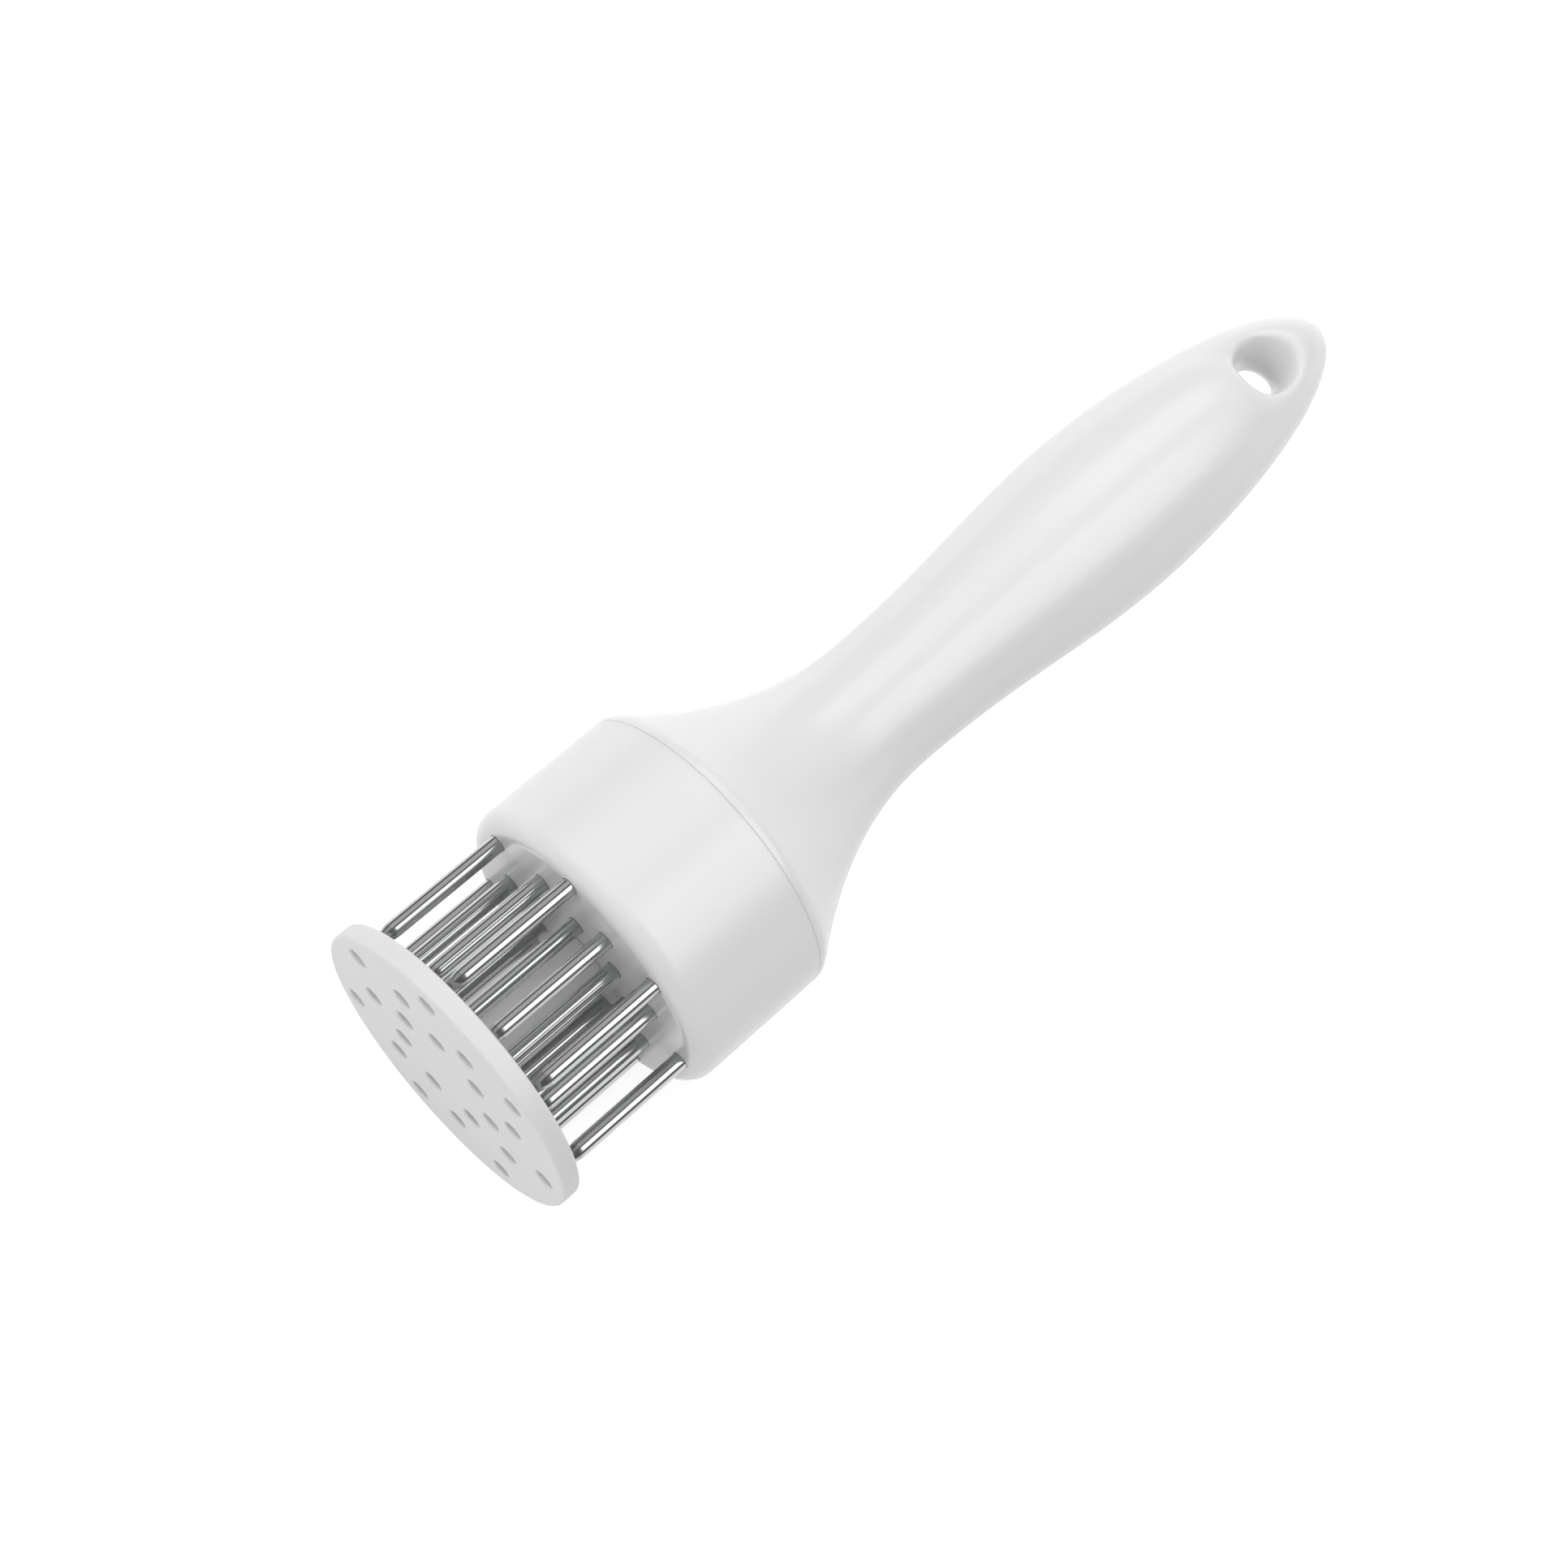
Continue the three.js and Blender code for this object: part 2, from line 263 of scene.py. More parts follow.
# %% A set of pins
def pins(radius, bottom, top, sides=32):
    """One object with a round pin at every needle's place."""
    clear_selection()
    bpy.ops.mesh.primitive_cylinder_add(
        vertices=sides,
        radius=radius * MM,
        depth=(top - bottom) * MM,
        location=place((top + bottom) / 2),
        rotation=(0, math.pi / 2, 0),
    )
    first = bpy.context.object
    bpy.ops.object.transform_apply(location=True, rotation=True, scale=True)
    made = []
    for across, up in needle_places:
        work_on(first)
        bpy.ops.object.duplicate()
        copy = bpy.context.object
        bpy.ops.object.mode_set(mode="EDIT")
        bpy.ops.mesh.select_all(action="SELECT")
        bpy.ops.transform.translate(value=(0, across * MM, up * MM))
        bpy.ops.object.mode_set(mode="OBJECT")
        made.append(copy)
    bpy.data.objects.remove(first)
    clear_selection()
    for copy in made:
        copy.select_set(True)
    bpy.context.view_layer.objects.active = made[0]
    bpy.ops.object.join()
    return bpy.context.object


def near_needle(at, radius, slack=0.06):
    """Whether a place lies on a circle of that radius round one of the needles."""
    across, up = at.y / MM, (at.z - axis_z) / MM
    return any(abs(math.hypot(across - y, up - z) - radius) < slack for y, z in needle_places)


# %% [markdown]
# ## Clean flat rings
# A ring turned round the axis is a fan of narrow faces, and a bevel at a hole's rim would cross their
# edges. So the fan is dissolved into two faces, which part along two radii where no needle stands.

# %% Make a flat ring of two faces
SAME = 0.01  # heights in millimetres nearer than this are one
FLAT = 0.999  # a face whose normal's X is at least this lies square to the axis
ring_parting = math.radians(-65), math.radians(90)


def two_faces(piece, height, facing):
    """Dissolves the flat ring at a height, which faces along X (1) or against it (-1), into two faces."""
    start, end = ring_parting
    for part in (True, False):
        work_on(piece, edit=True)
        pick(
            piece,
            "FACE",
            lambda at, normal: abs(height_of(at.x) - height) < SAME
            and normal.x * facing > FLAT
            and (start < math.atan2(at.z - axis_z, at.y) < end) == part,
        )
        bpy.ops.mesh.dissolve_faces()


# %% [markdown]
# ## Press plate and post
# On the real tool the plate and its post are one white moulding: a disc 3.4 mm thick with lightly
# rounded edges, and a 10 mm post that runs up into the head. It is turned from one profile. The needle
# holes are cut after that and their rims rounded by a bevel, as the mould's soft edges leave them.

# %% Plate values
plate_thickness = 3.4
plate_edge = 0.6
post_radius = 5
post_root = 0.8
post_top = ends_of("press_plate")[1]
pilot_radius = 1.8
pilot_depth = 8
plate_hole_radius = 1.65
plate_hole_round = 0.4
round_steps = 128
small_round_steps = 4
drill_overrun = 1

# %% Turn the plate and its post
plate_profile = [(0, 0)]
plate_profile += quarter(
    (0, body_radius - plate_edge), (0, body_radius), (plate_edge, body_radius), small_round_steps
)
plate_profile += quarter(
    (plate_thickness - plate_edge, body_radius),
    (plate_thickness, body_radius),
    (plate_thickness, body_radius - plate_edge),
    small_round_steps,
)
plate_profile += quarter(
    (plate_thickness, post_radius + post_root),
    (plate_thickness, post_radius),
    (plate_thickness + post_root, post_radius),
    small_round_steps,
)
plate_profile += [
    (post_top, post_radius),
    (post_top, pilot_radius),
    (post_top - pilot_depth, pilot_radius),
    (post_top - pilot_depth, 0),
]
press_plate = turn("press_plate_moulding", plate_profile, round_steps)
print("plate", len(press_plate.data.polygons), "faces before its holes")

# %% Make the outer face one face and the inner face two, then cut the holes
work_on(press_plate, edit=True)
pick(press_plate, "FACE", lambda at, normal: height_of(at.x) < SAME and normal.x < -FLAT)
bpy.ops.mesh.dissolve_faces()
two_faces(press_plate, plate_thickness, 1)
cut_away(press_plate, pins(plate_hole_radius, -drill_overrun, plate_thickness + drill_overrun))
work_on(press_plate, edit=True)
rims = pick(
    press_plate,
    "EDGE",
    lambda at, edge: near_needle(at, plate_hole_radius)
    and abs(edge.verts[0].co.x - edge.verts[1].co.x) < WELD
    and (height_of(at.x) < SAME or abs(height_of(at.x) - plate_thickness) < SAME),
)
bpy.ops.mesh.bevel(offset=plate_hole_round * MM, segments=4, profile=0.5, affect="EDGES")
print("rounded", rims, "rim edges of the plate's holes")
smooth(press_plate, angle=40)
print("plate", len(press_plate.data.polygons), "faces")

# %% [markdown]
# ## Head
# The head is a white moulded cup, open towards the handle. Its thick floor holds the needles, and a collar
# in its middle guides the post. It is turned from its section, with the 3.2 mm round of its lower edge in
# the profile, and the needle holes are cut to a close fit.

# %% Head values
head_face = ends_of("head_shell")[0]
head_edge = 3.2
head_edge_steps = 10
head_wall = 1.7
floor_top = head_face + 8
collar_bore = 5.3
collar_radius = 7.2
collar_top = post_top
seam_height = 50.8
seam_half = 0.012  # half of the fine gap that shows between the head and the handle
seam_edge = 0.07
seam_edge_steps = 3
snap_height = 44.8
snap_half = 0.8
snap_rise = 0.5
bore_radius = body_radius - head_wall

# %% Turn the head
head_rim = seam_height - seam_half
head_profile = [(head_face, collar_bore)]
head_profile += quarter(
    (head_face, body_radius - head_edge),
    (head_face, body_radius),
    (head_face + head_edge, body_radius),
    head_edge_steps,
)
head_profile += quarter(
    (head_rim - seam_edge, body_radius),
    (head_rim, body_radius),
    (head_rim, body_radius - seam_edge),
    seam_edge_steps,
)
head_profile += [
    (head_rim, bore_radius),
    (snap_height + snap_half, bore_radius),
    (snap_height, bore_radius + snap_rise),
    (snap_height - snap_half, bore_radius),
    (floor_top, bore_radius),
    (floor_top, collar_radius),
    (collar_top, collar_radius),
    (collar_top, collar_bore),
    (head_face, collar_bore),
]
head = turn("head_moulding", head_profile, round_steps)

# %% Cut the needle holes into the head's floor
needle_fit = 0.04
head_hole_radius = needle_radius + needle_fit
head_hole_round = 0.12
two_faces(head, head_face, -1)
cut_away(head, pins(head_hole_radius, head_face - drill_overrun, floor_top + drill_overrun))
work_on(head, edit=True)
rims = pick(
    head,
    "EDGE",
    lambda at, edge: height_of(at.x) < head_face + head_edge / 2
    and near_needle(at, head_hole_radius, slack=0.03)
    and abs(edge.verts[0].co.x - edge.verts[1].co.x) < head_hole_round * MM,
)
bpy.ops.mesh.bevel(offset=head_hole_round * MM, segments=2, profile=0.5, affect="EDGES")
smooth(head, angle=40)
print("head", len(head.data.polygons), "faces,", rims, "rim edges rounded")

# %% [markdown]
# ## Handle outline
# The handle flares from the head's width to a neck, swells to the grip and ends in a blunt tip. Three
# curves draw that outline, with the same points as the CAD source: a parabola for the flare and a cubic
# for each of the others.

# %% Handle values
shoulder_height = 52
neck_radius, neck_height = 11.2, 87.5
grip_radius, grip_height = 14.55, 139
flare_middle_share = 0.5
rise_start_share, rise_end_share = 0.43, 0.34
tip_start_share, tip_end_share, tip_fullness_share = 0.354, 0.006, 0.686


# %% Curves of the outline
def mix(a, b, share):
    return a + (b - a) * share


def curve_point(points, share):
    """A point on the Bezier curve through control points, by halving them down to one."""
    while len(points) > 1:
        points = [
            (mix(a[0], b[0], share), mix(a[1], b[1], share)) for a, b in zip(points, points[1:])
        ]
    return points[0]


flare = [
    (shoulder_height, body_radius),
    (mix(shoulder_height, neck_height, flare_middle_share), neck_radius),
    (neck_height, neck_radius),
]
rise = [
    (neck_height, neck_radius),
    (mix(neck_height, grip_height, rise_start_share), neck_radius),
    (mix(grip_height, neck_height, rise_end_share), grip_radius),
    (grip_height, grip_radius),
]
tip = [
    (grip_height, grip_radius),
    (mix(grip_height, tool_length, tip_start_share), grip_radius),
    (mix(tool_length, grip_height, tip_end_share), grip_radius * tip_fullness_share),
    (tool_length, 0),
]


def outline_at(height):
    """The handle's outer radius at a height, found by halving the curve's span."""
    curve = flare if height < neck_height else rise if height < grip_height else tip
    low, high = 0.0, 1.0
    for _ in range(40):
        middle = (low + high) / 2
        low, high = (middle, high) if curve_point(curve, middle)[0] < height else (low, middle)
    return curve_point(curve, low)[1]


opening_low, opening_high = frame["record"]["physics"]["openings"][0]["box_m"]
hole_height = height_of((opening_low[0] + opening_high[0]) / 2)
print("hanging hole at", round(hole_height, 2), "mm")
print("there the handle is", round(2 * outline_at(hole_height), 2), "mm across")

# %% [markdown]
# ## Handle body
# The handle is a hollow moulding. Its inside is drawn first, from the closed end of the hollow down to the
# spigot that snaps into the head, and then its outside from the seam to the tip. The mesh is kept coarse
# and even, because one level of Subdivision Surface then gives the soft moulded surface. Rings stand
# 1.16 mm apart where the hanging hole will be opened. A subdivided ring draws in a little, so the profile
# is let out by that much first.

# %% Handle mesh values
handle_steps = 64
let_out = 1 / (1 - (2 * math.pi / handle_steps) ** 2 / 6)
handle_wall = 1.8
spigot_end = 39.2
spigot_radius = 23
spigot_bore = spigot_radius - handle_wall
seat_bottom, seat_top, seat_bore = 80, 85, 4.2
hollow_top = 163.9
ring_step = 1.16
rings_beside_hole = 8
rise_rings = 11
corner_hold = 0.3  # a second ring this near a corner keeps it crisp
land = seam_height + seam_half


# %% The two sides of the handle's section
def inner_wall(height):
    return (height, min(outline_at(height) - handle_wall, spigot_bore))


inside = [(hollow_top, 0), (hollow_top, 3)]
inside += [(hollow_top, inner_wall(hollow_top)[1] - corner_hold), inner_wall(hollow_top)]
inside += [inner_wall(h) for h in (160, 152, 144, 136, 128, 120, 112, 104, 96, 90)]
inside += [inner_wall(seat_top), (seat_top, seat_bore), (seat_bottom, seat_bore), inner_wall(seat_bottom)]
inside += [inner_wall(h) for h in (76, 72, 68, 64, 61, 58.5)]
inside += [(shoulder_height, spigot_bore), (spigot_end + corner_hold, spigot_bore)]
inside += [(spigot_end, spigot_bore + corner_hold), (spigot_end, spigot_radius - corner_hold)]
inside += [(spigot_end + corner_hold, spigot_radius), (snap_height - snap_half, spigot_radius)]
inside += [(snap_height, spigot_radius + snap_rise), (snap_height + snap_half, spigot_radius)]
inside += [(land - corner_hold, spigot_radius), (land, spigot_radius), (land, spigot_radius + corner_hold)]

outside = [(land, body_radius - 2 * seam_edge), (land, body_radius - seam_edge)]
outside += [(land + seam_edge / 2, body_radius), (land + 2 * seam_edge, body_radius)]
outside += [(shoulder_height - 0.5, body_radius)]
flare_shares = (0.008, 0.03, 0.07, 0.12, 0.19, 0.27, 0.36, 0.46, 0.57, 0.68, 0.8, 0.9)
outside += [curve_point(flare, share) for share in flare_shares]
outside += [curve_point(rise, n / rise_rings) for n in range(rise_rings)]
outside += [(h, outline_at(h)) for h in (139, 143, 147, 151, 154.5, 157.5, 160, 162.2, 163.8)]
outside += [
    (hole_height + n * ring_step, outline_at(hole_height + n * ring_step))
    for n in range(-rings_beside_hole, rings_beside_hole + 1)
]
tip_shares = (0.75, 0.785, 0.82, 0.853, 0.885, 0.913, 0.938, 0.958, 0.975, 0.988)
outside += [curve_point(tip, share) for share in tip_shares]
outside += [(tool_length, 0)]
print("the last rings start at", round(curve_point(tip, tip_shares[0])[0], 2), "mm")

# %% Turn the handle
handle = turn("handle_moulding", [(h, r * let_out) for h, r in inside + outside], handle_steps)
print("handle cage", len(handle.data.polygons), "faces")

# %% [markdown]
# ## Hanging hole
# Two core pins meet in the middle of the handle and leave a hole with a crisp throat and soft rims. On the
# side that the photograph shows, the wall swells out like a trumpet. The floor shows through the throat,
# so the other side must open straight and wide, like a funnel. A boolean would leave ragged triangles in a
# glossy curved surface, so the hole is opened in the mesh itself. A block of faces is deleted on each side,
# the edge left there is made oval and laid back on the surface, and rings are extruded from it to the
# throat.

# %% Hanging hole values
throat_radius = 3.35
mouth_half_length, mouth_half_width = 7.6, 6.3
mouth_shift = 0.25  # how far the mouth's middle lies past the throat's, towards the tip
block_rings = 6
block_slack = 0.2  # in faces, which keeps the limit clear of a face's edge
block_angle = (block_rings + block_slack) * 2 * math.pi / handle_steps


def wall_oval(share):
    """The middle, half length and half width of a ring of the wall.

    The share is 0 at the throat and 1 at the mouth.
    """
    half_length = mix(throat_radius, mouth_half_length, share)
    half_width = mix(throat_radius, mouth_half_width, share)
    return place(hole_height + mouth_shift * share), half_length * MM, half_width * MM


print("the hole's rim is", [round(v / MM, 2) for v in wall_oval(1)[1:]], "mm from its middle")

# %% Keep a whole handle to lay edges back on
work_on(handle)
bpy.ops.object.duplicate()
whole_handle = bpy.context.object
apply_modifier(whole_handle, "SUBSURF", levels=2, render_levels=2)
work_on(whole_handle, edit=True)
bpy.ops.mesh.select_all(action="SELECT")
bpy.ops.transform.resize(value=(1, let_out, let_out), center_override=place(0))


# %% Open a block of faces on each side
def in_block(at, normal):
    """Whether a face of the outer wall lies where the hole opens, above or below."""
    lean = math.atan2(abs(at.y), abs(at.z - axis_z))
    outward = (at.z - axis_z) * normal.z > 0
    return abs(height_of(at.x) - hole_height) < block_rings * ring_step and lean < block_angle and outward


work_on(handle, edit=True)
opened = pick(handle, "FACE", lambda at, normal: in_block(at, normal) and height_of(at.x) > hollow_top)
bpy.ops.mesh.delete(type="FACE")
print("opened", opened, "faces for the hole")


# %% Make each opening's edge oval
def rim_vertices(side):
    """Selects the open edge on the upper (1) or lower (-1) side and returns how many vertices it has."""
    return pick(
        handle,
        "VERT",
        lambda at, vertex: vertex.is_boundary and (at.z - axis_z) * side > 0,
    )


def selected_mean(piece, measure):
    """The mean of a measure over the selected vertices."""
    mesh = bmesh.from_edit_mesh(piece.data)
    values = [measure(vertex.co) for vertex in mesh.verts if vertex.select]
    return sum(values) / len(values)


bpy.ops.object.vertex_group_add()
handle.vertex_groups[-1].name = "rim"
rim_middle, rim_length, rim_width = wall_oval(1)
for side in (1, -1):
    count = rim_vertices(side)
    above = place(hole_height, 0, side * outline_at(hole_height))
    bpy.ops.transform.resize(value=(1, 1, 0), center_override=above)
    bpy.ops.transform.tosphere(value=1, center_override=above)
    across = selected_mean(handle, lambda at: math.hypot(at.x - above.x, at.y))
    bpy.ops.transform.resize(value=(rim_length / across, rim_width / across, 1), center_override=above)
    bpy.ops.transform.translate(value=(rim_middle.x - above.x, 0, 0))
    bpy.ops.object.vertex_group_assign()
    print("side", side, "has", count, "rim vertices")

# %% Ease the faces round the openings
ease_reach = 12
ease_start = hollow_top + 0.1
ease_passes = 12
bpy.ops.object.vertex_group_add()
handle.vertex_groups[-1].name = "eased"
eased = pick(
    handle,
    "VERT",
    lambda at, vertex: not vertex.is_boundary
    and math.hypot(at.x - rim_middle.x, at.y) < ease_reach * MM
    and height_of(at.x) > ease_start
    and abs(math.hypot(at.y, at.z - axis_z) / MM - outline_at(height_of(at.x)) * let_out) < SAME,
)
bpy.ops.object.vertex_group_assign()
bpy.ops.mesh.vertices_smooth(factor=0.5, repeat=ease_passes)
bpy.ops.object.mode_set(mode="OBJECT")
for group, method in (("rim", "PROJECT"), ("eased", "NEAREST_SURFACEPOINT")):
    settings = {"target": whole_handle, "vertex_group": group, "wrap_method": method}
    if method == "PROJECT":
        settings |= {"use_project_z": True}
        settings |= {"use_negative_direction": True, "use_positive_direction": True}
    apply_modifier(handle, "SHRINKWRAP", **settings)
print("eased", eased, "vertices")

# %% Sink the wall from each rim to the throat
# Each ring is written as the share of the rim's own rise that it keeps, and how far it lies from the throat
# towards the mouth. The last one is flat in the middle, where the two sides are welded.
trumpet_steps = 10
straightness = 0.4  # of the trumpet's wall: 0 is a full quarter round and 1 is a funnel
trumpet = []
for n in range(1, trumpet_steps):
    lean = n / trumpet_steps * math.pi / 2
    trumpet.append((math.cos(lean), mix(1 - math.sin(lean), math.cos(lean), straightness)))
trumpet.append((0, 0))
funnel = [(share, share) for share in (0.91, 0.82, 0.73, 0.63, 0.52, 0.4, 0.27, 0.13, 0.04, 0)]
work_on(handle, edit=True)
for side, wall_rings in ((1, trumpet), (-1, funnel)):
    rim_vertices(side)
    kept_before, share_before = 1, 1
    for kept, share in wall_rings:
        middle_before, length_before, width_before = wall_oval(share_before)
        middle, length, width = wall_oval(share)
        bpy.ops.mesh.extrude_region_move(TRANSFORM_OT_translate={"value": middle - middle_before})
        scale = (length / length_before, width / width_before, kept / kept_before)
        bpy.ops.transform.resize(value=scale, center_override=middle)
        kept_before, share_before = kept, share
pick(handle, "VERT", lambda at, vertex: vertex.is_boundary)
bpy.ops.mesh.remove_doubles(threshold=10 * WELD)

# %% Soften the rims
# The vertices on and beside the rim are relaxed, the nearest ones longest, as a rim is sanded or polished.
# Each pass says how many rings beside the rim are relaxed, and how often.
rim_passes = ((4, 6), (3, 6), (2, 5), (1, 4))
for rings, passes in rim_passes:
    bpy.ops.mesh.select_all(action="DESELECT")
    handle.vertex_groups.active_index = handle.vertex_groups["rim"].index
    bpy.ops.object.vertex_group_select()
    for _ in range(rings):
        bpy.ops.mesh.select_more()
    bpy.ops.mesh.vertices_smooth(factor=0.5, repeat=passes)
bpy.ops.mesh.select_all(action="SELECT")
bpy.ops.mesh.normals_make_consistent(inside=False)
open_rims = pick(handle, "EDGE", lambda at, edge: edge.is_boundary)
bpy.data.objects.remove(whole_handle)

# %% Finish the handle
apply_modifier(handle, "SUBSURF", levels=1, render_levels=1)
work_on(handle)
bpy.ops.object.shade_smooth_by_angle(angle=math.radians(50))
print("handle", len(handle.data.polygons), "faces,", open_rims, "open edges")

# %% [markdown]
# ## Needles
# Each needle is a drawn and polished stainless wire with an upset head and a long point, ground round on a
# spinning wire, so that all 21 catch the light alike. The wire is a cylinder, the head and the point are
# extruded from its end faces, and the edge where the point starts is softened by a bevel, as polishing does.

# %% Needle values
point_length = 5.4
point_round = 0.7
needle_head_radius = 2
needle_head_thickness = 1.2
needle_sides = 48
needle_shoulder = needle_top - needle_head_thickness
wire_start = needle_tip + point_length

# %% Model one needle on the tool's axis
clear_selection()
bpy.ops.mesh.primitive_cylinder_add(
    vertices=needle_sides,
    radius=needle_radius * MM,
    depth=(needle_shoulder - wire_start) * MM,
    location=place((needle_shoulder + wire_start) / 2),
    rotation=(0, math.pi / 2, 0),
)
first_needle = bpy.context.object
bpy.ops.object.transform_apply(location=True, rotation=True, scale=True)
bpy.ops.object.mode_set(mode="EDIT")
pick(first_needle, "FACE", lambda at, normal: normal.x > FLAT)
bpy.ops.mesh.extrude_region_move(TRANSFORM_OT_translate={"value": (0, 0, 0)})
widen = needle_head_radius / needle_radius
bpy.ops.transform.resize(value=(1, widen, widen), center_override=place(needle_shoulder))
bpy.ops.mesh.extrude_region_move(TRANSFORM_OT_translate={"value": (needle_head_thickness * MM, 0, 0)})
pick(first_needle, "FACE", lambda at, normal: height_of(at.x) < wire_start + SAME)
bpy.ops.mesh.extrude_region_move(TRANSFORM_OT_translate={"value": (-point_length * MM, 0, 0)})
bpy.ops.mesh.merge(type="CENTER")
pick(
    first_needle,
    "EDGE",
    lambda at, edge: all(abs(height_of(vertex.co.x) - wire_start) < SAME for vertex in edge.verts),
)
bpy.ops.mesh.bevel(offset=point_round * MM, segments=4, profile=0.5, affect="EDGES")
bpy.ops.mesh.select_all(action="SELECT")
bpy.ops.mesh.normals_make_consistent(inside=False)
bpy.ops.object.mode_set(mode="OBJECT")
print("one needle has", len(first_needle.data.polygons), "faces")

# %% [markdown]
# ## Clamp disc and washer
# Inside the head a turned steel disc lies on the needles' heads and keeps them down, and a washer under the
# stop screw keeps the post from dropping out. Both are cut on a lathe from bar, with broken edges.

# %% Turn the disc and the washer
def bored_disc(name, node, bore, rim, broken, steps):
    """A flat ring as thick as its CAD node, with each of its four edges broken by a small chamfer."""
    bottom, top = ends_of(node)
    section = [
        (bottom, bore + broken),
        (bottom, rim - broken),
        (bottom + broken, rim),
        (top - broken, rim),
        (top, rim - broken),
        (top, bore + broken),
        (top - broken, bore),
        (bottom + broken, bore),
        (bottom, bore + broken),
    ]
    made = turn(name, section, steps)
    smooth(made, angle=30)
    print(name, "lies from", round(bottom, 2), "to", round(top, 2), "mm")
    return made


disc_bore = collar_radius + 0.3  # it clears the collar by this much
clamp_disc = bored_disc(
    "turned_clamp_disc", "needle_clamp_disc", bore=disc_bore, rim=spigot_radius, broken=0.25, steps=96
)
washer = bored_disc("turned_stop_washer", "stop_washer", bore=1.8, rim=6.8, broken=0.12, steps=64)

# %% [markdown]
# ## Winding
# A spring and a screw thread are both a small section carried round the axis while it climbs. The section
# is one face, and each step extrudes it, moves it up and turns it, as a coiling machine feeds wire.

# %% Wind a section round the tool's axis
def wind(piece, climbs, steps):
    """Winds the selected face round the axis, one turn for each climb in millimetres."""
    for climb in climbs:
        for _ in range(steps):
            move = (climb / steps * MM, 0, 0)
            bpy.ops.mesh.extrude_region_move(TRANSFORM_OT_translate={"value": move})
            angle = -2 * math.pi / steps
            bpy.ops.transform.rotate(value=angle, orient_axis="X", center_override=place(0))
    bpy.ops.mesh.select_all(action="SELECT")
    bpy.ops.mesh.normals_make_consistent(inside=False)
    work_on(piece)
    bpy.ops.object.shade_smooth_by_angle(angle=math.radians(50))


# %% Wind the return spring
wire_radius = 0.4
coil_radius = 5.2
wire_sides = 14
coil_steps = 32
close_gap = 0.1
close_climb = 2 * wire_radius + close_gap
open_turns = 7
spring_bottom, spring_top = ends_of("return_spring")
open_climb = (spring_top - spring_bottom - 2 * wire_radius - 2 * close_climb) / open_turns
clear_selection()
bpy.ops.mesh.primitive_circle_add(
    vertices=wire_sides,
    radius=wire_radius * MM,
    fill_type="NGON",
    location=place(spring_bottom + wire_radius, 0, coil_radius),
    rotation=(math.pi / 2, 0, 0),
)
spring = bpy.context.object
spring.name = spring.data.name = "wound_return_spring"
bpy.ops.object.transform_apply(location=True, rotation=True, scale=True)
bpy.ops.object.mode_set(mode="EDIT")
bpy.ops.mesh.select_all(action="SELECT")
wind(spring, [close_climb] + [open_climb] * open_turns + [close_climb], coil_steps)
print("spring pitch", round(open_climb, 2), "mm,", len(spring.data.polygons), "faces")

# %% [markdown]
# ## Stop screw
# A small pan-head screw with a cross recess holds the washer. Its shank and head are turned, the cross is
# cut with two crossed blades, and the thread is wound on as a ridge. It stays hidden inside the head.

# %% Turn the screw and cut its cross
screw_end, screw_top = ends_of("stop_screw")
screw_head_radius = 3.2
screw_head_bottom = screw_top - 2.2
screw_head_broken = 0.15
crown_start, crown_radius, crown_steps = screw_top - 1.3, 1.2, 6
core_radius, crest_radius = 1.1, 1.5
end_narrowing, end_length = 0.4, 0.5
screw_steps = 48
cross_depth, cross_length, cross_width = 1.2, 3.4, 0.7
screw_profile = [(screw_end, 0), (screw_end, core_radius - end_narrowing)]
screw_profile += [(screw_end + end_length, core_radius), (screw_head_bottom, core_radius)]
screw_profile += [(screw_head_bottom, screw_head_radius - screw_head_broken)]
screw_profile += [(screw_head_bottom + screw_head_broken, screw_head_radius)]
screw_profile += quarter(
    (crown_start, screw_head_radius), (screw_top, screw_head_radius), (screw_top, crown_radius), crown_steps
)
screw_profile += [(screw_top, 0)]
screw = turn("threaded_stop_screw", screw_profile, screw_steps)
for lean in (0, math.pi / 2):
    clear_selection()
    bpy.ops.mesh.primitive_cube_add(size=MM, location=place(screw_top), rotation=(lean, 0, 0))
    blade = bpy.context.object
    blade.scale = (2 * cross_depth, cross_length, cross_width)
    bpy.ops.object.transform_apply(location=True, rotation=True, scale=True)
    cut_away(screw, blade)
smooth(screw, angle=35)

# %% Wind the thread and join it to the screw
thread_climb, thread_turns, thread_steps = 1.3, 5, 24
thread_start = screw_end + 0.8
thread_middle = mix(core_radius, crest_radius, 0.2)
clear_selection()
bpy.ops.mesh.primitive_circle_add(
    vertices=3,
    radius=(crest_radius - core_radius) * MM,
    fill_type="NGON",
    location=place(thread_start, 0, thread_middle),
    rotation=(math.pi / 2, 0, 0),
)
thread = bpy.context.object
bpy.ops.object.transform_apply(location=True, rotation=True, scale=True)
bpy.ops.object.mode_set(mode="EDIT")
bpy.ops.mesh.select_all(action="SELECT")
wind(thread, [thread_climb] * thread_turns, thread_steps)
work_on(screw)
thread.select_set(True)
bpy.ops.object.join()
print("screw", len(screw.data.polygons), "faces")

# %% [markdown]
# ## Colours and nodes
# Colours are written as sRGB hex, as they would be read from a swatch, and turned to the linear values
# that a shader works in. One small function adds a node, sets it and links it.

# %% Colour and node helpers
def colour(code):
    """A linear RGBA colour from an sRGB hex code."""
    parts = [int(code[i : i + 2], 16) / 255 for i in (1, 3, 5)]
    return (*[c / 12.92 if c <= 0.04045 else ((c + 0.055) / 1.055) ** 2.4 for c in parts], 1)


